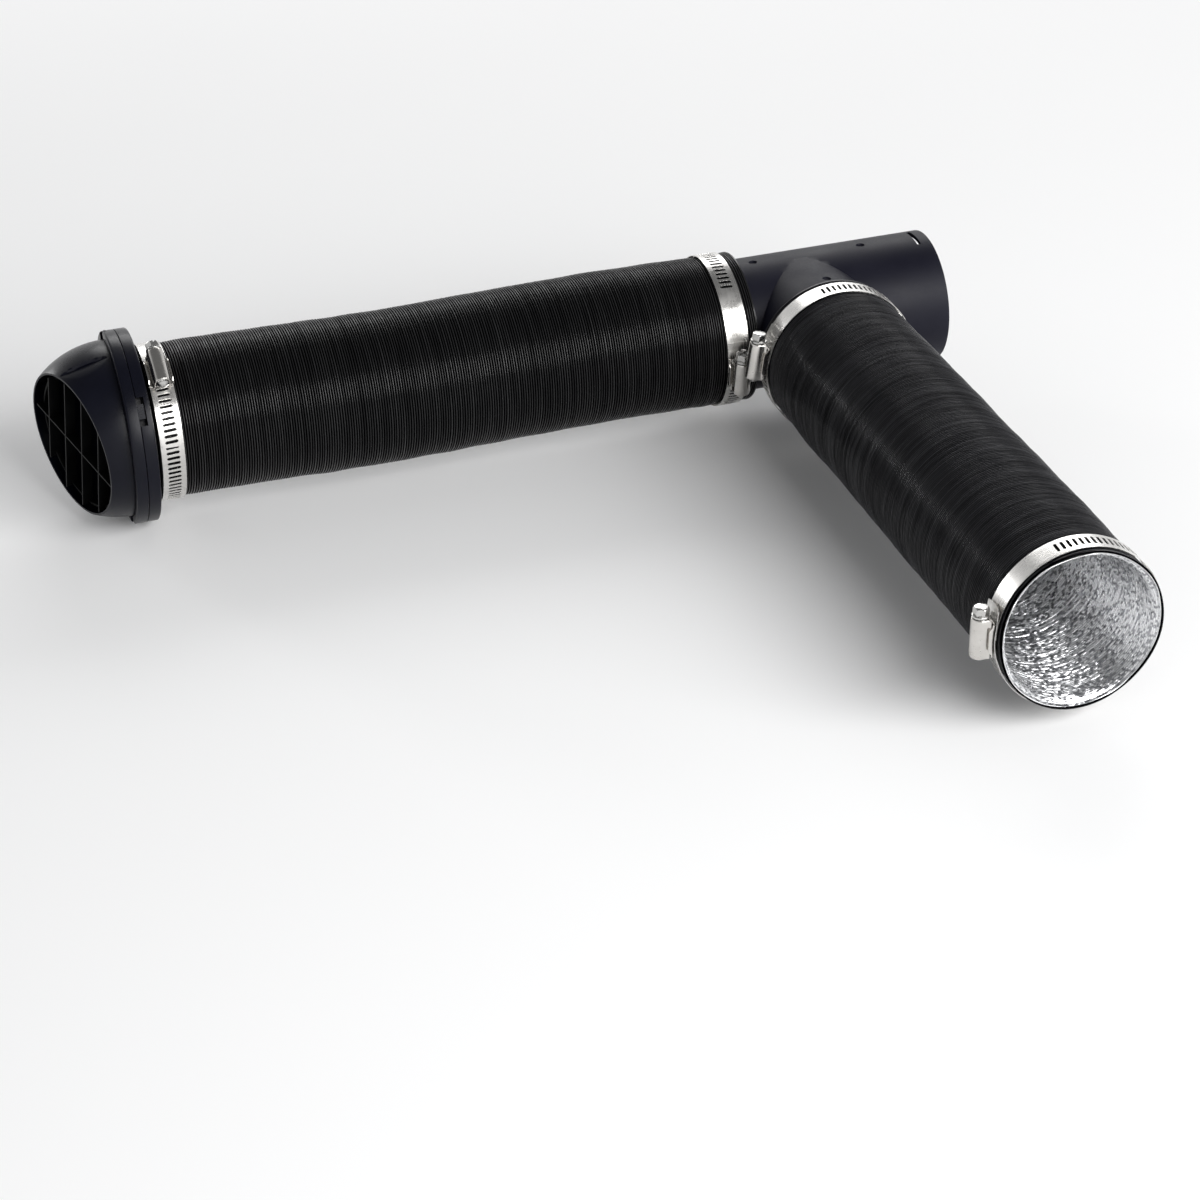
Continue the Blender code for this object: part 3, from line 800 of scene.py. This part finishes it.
# ------------------------------------------------------------------ tee
def build_tee():
    a = "tee_moulding"
    rows = lambda zs: [(37.5, float(z), 0.0) for z in zs]
    o = turned(a, [(37.5, 78, 0.35)] + rows(np.linspace(70, -70, 29)) + [(37.5, -78, 0.35), (35.2, -78, 0.2), (35.2, 78, 0.2)], ALONG["+X"], "tee", 192)
    arm = turned("arm", [(37.5, 92, 0.35)] + rows(np.linspace(85, 9, 16)) + [(37.5, 4, 0.1), (35.2, 4, 0.1), (35.2, 92, 0.2)], ALONG["-Y"], "tee", 192)
    outward(o)
    outward(arm)
    # each tube is opened where the other meets it, then the two are joined
    combine(arm, [cutter_cyl(36.3, 210, ALONG["+X"] @ Matrix.Translation((0, 0, -105)) @ Matrix.Rotation(0.0071, 4, "Z"), 184)])
    combine(o, [cutter_cyl(35.25, 90, ALONG["-Y"] @ Matrix.Translation((0, 0, 15)) @ Matrix.Rotation(0.0113, 4, "Z"), 188)])
    combine(o, [arm], "UNION")
    cuts = []
    for ang in (0, 180):
        cuts.append(cutter_block((12, 18, 2.4), on_arm("+X", ang, 70.6, 37.5)))
    for k, (arm_, ang, dist) in enumerate([("-X", 0, 27), ("-X", 90, 27), ("-X", 180, 27), ("+X", 0, 38), ("+X", 90, 38), ("+X", 180, 38), ("-Y", 84, 36), ("-Y", -84, 36)]):
        fr = on_arm(arm_, ang, dist, 36.0) @ Matrix.Rotation(math.radians(90), 4, "Y")
        # a shallow round recess with a dished floor
        cuts.append(lathe_solid(f"mark_{k}", [(0.4, 4.0), (2.55, 4.0), (2.5, 1.6), (2.44, 0.95), (2.2, 0.6), (1.6, 0.42), (0.4, 0.36)], fr, "tee", 40))
    combine(o, cuts)
    o.data.shade_smooth()
    o.data.set_sharp_from_angle(angle=math.radians(28))
    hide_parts("tee_body")
    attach(o, "root")
    return o


build_tee()

# ------------------------------------------------------------------ vent
AX = ALONG["-X"]
FLANGE_R, BACK, SEAM, FRONT = 53.0, 380.8, 387.4, 394.2
base = turned("vent_rear_flange", [(FLANGE_R, SEAM, 0.35), (FLANGE_R, BACK, 1.1), (40.6, BACK, 0.3), (37.5, BACK, 0.6), (37.5, 345.0, 0.8), (35.5, 345.0, 0.5), (35.5, SEAM, 0.3)], AX, "vent", 240)
cuts = []
for a in (33 - 90, 213 - 90):
    cuts.append(cutter_block((15.0, 15.6, 7.8), on_arm("-X", a, SEAM, FLANGE_R)))
combine(base, cuts)
base.data.shade_smooth()
base.data.set_sharp_from_angle(angle=math.radians(28))
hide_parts("vent_base")
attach(base, "outlet_far")

bezel = turned("vent_front_ring", [(FLANGE_R, FRONT, 1.3), (FLANGE_R, SEAM + 0.3, 0.3), (50.7, SEAM + 0.3, 0.2), (50.7, 391.0, 0.2), (48.9, 391.0, 0.3), (48.9, FRONT, 0.6)], AX, "vent", 240)
adds = []
for a in (33 - 90, 213 - 90):
    adds.append(cutter_block((1.1, 8.0, 4.6), on_arm("-X", a, SEAM - 1.0, FLANGE_R - 1.25)))
    for q in (-2.7, -0.9, 0.9, 2.7):
        adds.append(cutter_block((0.9, 0.8, 3.2), on_arm("-X", a, SEAM - 1.4, FLANGE_R - 0.8) @ Matrix.Translation((0, q, 0))))
combine(bezel, adds, "UNION")
cuts = []
for a in (112 - 90, 292 - 90):
    cuts += [cutter_cyl(2.9, 4.0, on_arm("-X", a + q, FRONT - 2.6, 51.0), 40) for q in (0, -6.5, 6.5)]
    cuts.append(cutter_block((5.0, 11.6, 4.0), on_arm("-X", a, FRONT - 0.6, 50.7)))
combine(bezel, cuts)
bezel.data.shade_smooth()
bezel.data.set_sharp_from_angle(angle=math.radians(28))
if not bezel.data.materials:
    bezel.data.materials.append(MAT["vent"])
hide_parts("vent_bezel")
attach(bezel, "outlet_far")

for k, a in enumerate((112 - 90, 292 - 90)):
    fr = on_arm("-X", a, FRONT - 2.1, 51.0)
    o = lathe_solid(f"vent_fixing_{k + 1}", [(0.4, 1.25), (1.5, 1.2), (2.1, 0.95), (2.35, 0.6), (2.35, 0.2), (2.3, 0.0), (0.4, 0.0)], fr, "dark_screw", 40, 35)
    combine(o, [cutter_block((2.9, 0.55, 1.2), fr @ Matrix.Translation((0, 0, 1.3))), cutter_block((0.55, 2.9, 1.2), fr @ Matrix.Translation((0, 0, 1.3)))])
    o.data.shade_smooth()
    o.data.set_sharp_from_angle(angle=math.radians(35))
    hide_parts(f"vent_screw_{k + 1}")
    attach(o, "outlet_far")

HOOD_R, HOOD_D, HOOD_T = 48.4, 51.4, 2.2
ZC = FRONT - 0.2
TILT, ROLL, OPEN_AT = math.radians(20), math.radians(-10), 27.5
A_N = ROLL - math.pi / 2      # the direction, round the axis, that the opening leans to


def hood():
    cols = 512
    a = np.arange(cols) * TAU / cols

    def rim_t(R, D, off):
        """elevation at which the opening's plane crosses each meridian of the dome"""
        p, q = R * np.cos(a - A_N) * math.sin(TILT), D * math.cos(TILT)
        return np.arcsin(np.clip(off / np.hypot(p, q), -1, 1)) - np.arctan2(p, q)

    def dome(R, D, t):
        return np.stack([R * np.cos(t) * np.cos(a), R * np.cos(t) * np.sin(a), ZC + D * np.sin(t)], -1)

    t_out = rim_t(HOOD_R, HOOD_D, OPEN_AT)
    RIM_T = 1.0
    t_in = rim_t(HOOD_R - RIM_T, HOOD_D - RIM_T, OPEN_AT)
    rows = []
    ang = lambda r, z: np.stack([r * np.cos(a), r * np.sin(a), z + 0 * a], -1)
    rows += [ang(46.2, 388.1), ang(50.0, 388.1), ang(50.3, 388.4), ang(50.3, 390.3), ang(50.0, 390.6), ang(48.75, 390.6), ang(48.45, 390.9), ang(HOOD_R, 391.6), ang(HOOD_R, 392.8)]
    n = 72
    back = 0.004
    f = np.linspace(0, 1, n)
    for i in range(n):
        t = (t_out - back) * f[i]
        P = dome(HOOD_R, HOOD_D, t)
        # thumb scoop: a shallow hollow under a crisp curved edge, near the top of the dome
        el = np.degrees(t)
        th = (np.degrees(a) + 90) % 360
        q = (79.5 - 1.5 * ((el - 17) / 15) ** 2 - th) * math.radians(1) * 48.0 * np.cos(t)
        along = np.clip((el - 2.0) / 31.0, 0, 1)
        lens = np.sin(math.pi * along) ** 0.7
        width = 10.5 * lens + 0.2
        depth = 1.9 * lens * smooth(np.clip(q / 0.7, 0, 1)) * np.clip(1 - q / width, 0, 1) ** 1.3
        nrm = P - np.array([0, 0, ZC])
        nrm = nrm / np.array([HOOD_R ** 2, HOOD_R ** 2, HOOD_D ** 2])
        nrm /= np.linalg.norm(nrm, axis=-1, keepdims=True)
        rows.append(P - nrm * depth[:, None])
    C, Ci = dome(HOOD_R, HOOD_D, t_out), dome(HOOD_R - RIM_T, HOOD_D - RIM_T, t_in)
    d = (Ci - C) / np.linalg.norm(Ci - C, axis=-1, keepdims=True)
    A0, B0 = dome(HOOD_R, HOOD_D, t_out - back), C + d * 0.2
    for k in range(1, 5):
        u = k / 4
        rows.append((1 - u) ** 2 * A0 + 2 * u * (1 - u) * C + u * u * B0)
    A1, B1 = Ci - d * 0.2, dome(HOOD_R - RIM_T, HOOD_D - RIM_T, t_in - 0.005)
    rows.append(A1)
    for k in range(1, 4):
        u = k / 3
        rows.append((1 - u) ** 2 * A1 + 2 * u * (1 - u) * Ci + u * u * B1)
    for i in range(29, -1, -1):
        T = RIM_T + (HOOD_T - RIM_T) * float(smooth(np.array((29 - i) / 12.0)))
        rows.append(dome(HOOD_R - T, HOOD_D - T, (t_in - 0.005) * i / 30))
    o = ring_grid("vent_dome", world(np.array(rows), AX), "vent", 38)
    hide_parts("vent_hood")
    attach(o, "hood")


hood()


def grille():
    lean = AX @ Matrix.Translation((0, 0, ZC)) @ Matrix.Rotation(ROLL, 4, "Z") @ Matrix.Rotation(TILT, 4, "X")
    lean = lean @ Matrix.Rotation(math.radians(-7.5), 4, "Z")
    g0, R = OPEN_AT - 6.5, 37.9
    o = turned("vent_louvre", [(R, g0 + 2.6, 0.4), (R, g0, 0.3), (R - 1.5, g0, 0.3), (R - 1.5, g0 + 2.6, 0.4)], lean, "grille", 160)
    adds = []
    for k in range(4):
        x = -25.5 + 17.0 * k
        half = math.sqrt((R + 0.7) ** 2 - x * x)
        adds.append(cutter_block((2 * half, 0.8, 6.0), lean @ Matrix.Translation((0, x, g0 + 3.2))))
    adds.append(cutter_block((0.95, 2 * R + 1.4, 5.4), lean @ Matrix.Translation((0, 0, g0 + 3.4))))
    combine(o, adds, "UNION")
    bevel(o, 0.12, 1, 50)
    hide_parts("vent_grille")
    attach(o, "hood")


grille()

# ------------------------------------------------------------------ stage, light, camera
def floor():
    me = bpy.data.meshes.new("floor")
    s = 9.0
    me.from_pydata([(-s, -s, 0), (s, -s, 0), (s, s, 0), (-s, s, 0)], [], [(0, 1, 2, 3)])
    o = bpy.data.objects.new("floor", me)
    bpy.context.scene.collection.objects.link(o)
    m, nt, b = nodes_of("floor_paper")
    v = mapped(nt, (1, 1, 1))
    nt.links.new(mix_colour(nt, noise(nt, v, 3.0, 2), (0.93, 0.93, 0.93), (0.945, 0.945, 0.945)), b.inputs["Base Color"])
    b.inputs["Roughness"].default_value = 0.9
    b.inputs["Specular IOR Level"].default_value = 0.1
    me.materials.append(m)
    o.location.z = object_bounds()[0].z - 0.0006
    o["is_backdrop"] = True


def softbox(name, az, el, dist, w, h, radiance, target=(0.0, 0.0, 0.0)):
    """az from +Y (behind) towards +X, el above the floor"""
    li = bpy.data.lights.new(name, "AREA")
    li.shape = "RECTANGLE"
    li.size, li.size_y = w, h
    li.energy = radiance * w * h * math.pi
    o = bpy.data.objects.new(name, li)
    t = J + Vector(target)
    a, e = math.radians(az), math.radians(el)
    o.location = t + Vector((math.sin(a) * math.cos(e), math.cos(a) * math.cos(e), math.sin(e))) * dist
    o.rotation_euler = (t - o.location).to_track_quat("-Z", "Y").to_euler()
    o.visible_camera = False
    bpy.context.scene.collection.objects.link(o)


floor()
w = bpy.data.worlds.new("studio")
bpy.context.scene.world = w
w.use_nodes = True
nt = w.node_tree
bg = nt.nodes["Background"]
bg.inputs["Color"].default_value = (0.985, 0.99, 1.0, 1)
tc = nt.nodes.new("ShaderNodeTexCoord")
sep = nt.nodes.new("ShaderNodeSeparateXYZ")
nt.links.new(tc.outputs["Generated"], sep.inputs[0])
# a pale tent near the floor, darker overhead
nt.links.new(span(nt, sep.outputs["Z"], 0.22, 0.7, 0.88, 0.16), bg.inputs["Strength"])
softbox("back_right", 16, 32, 2.3, 2.0, 0.75, 3.9)
softbox("back_left_low", -37, 9, 2.2, 0.42, 0.34, 15.0)
softbox("front", 156, 28, 2.4, 2.2, 1.3, 7.8)

cam = bpy.data.cameras.new("camera")
cam.sensor_fit = "HORIZONTAL"
cam.sensor_width = 36.0
cam.lens = 96.716
cam.clip_end = 60
co = bpy.data.objects.new("camera", cam)
R = Matrix.Rotation(-0.2867, 4, "Z") @ Matrix.Rotation(1.05286, 4, "X") @ Matrix.Rotation(-0.0383, 4, "Z")
co.matrix_world = Matrix.Translation(J + Vector((-0.59072, -1.58107, 0.77671))) @ R
bpy.context.scene.collection.objects.link(co)
bpy.context.scene.camera = co
bpy.context.scene.view_settings.view_transform = "Standard"

bpy.context.view_layer.update()
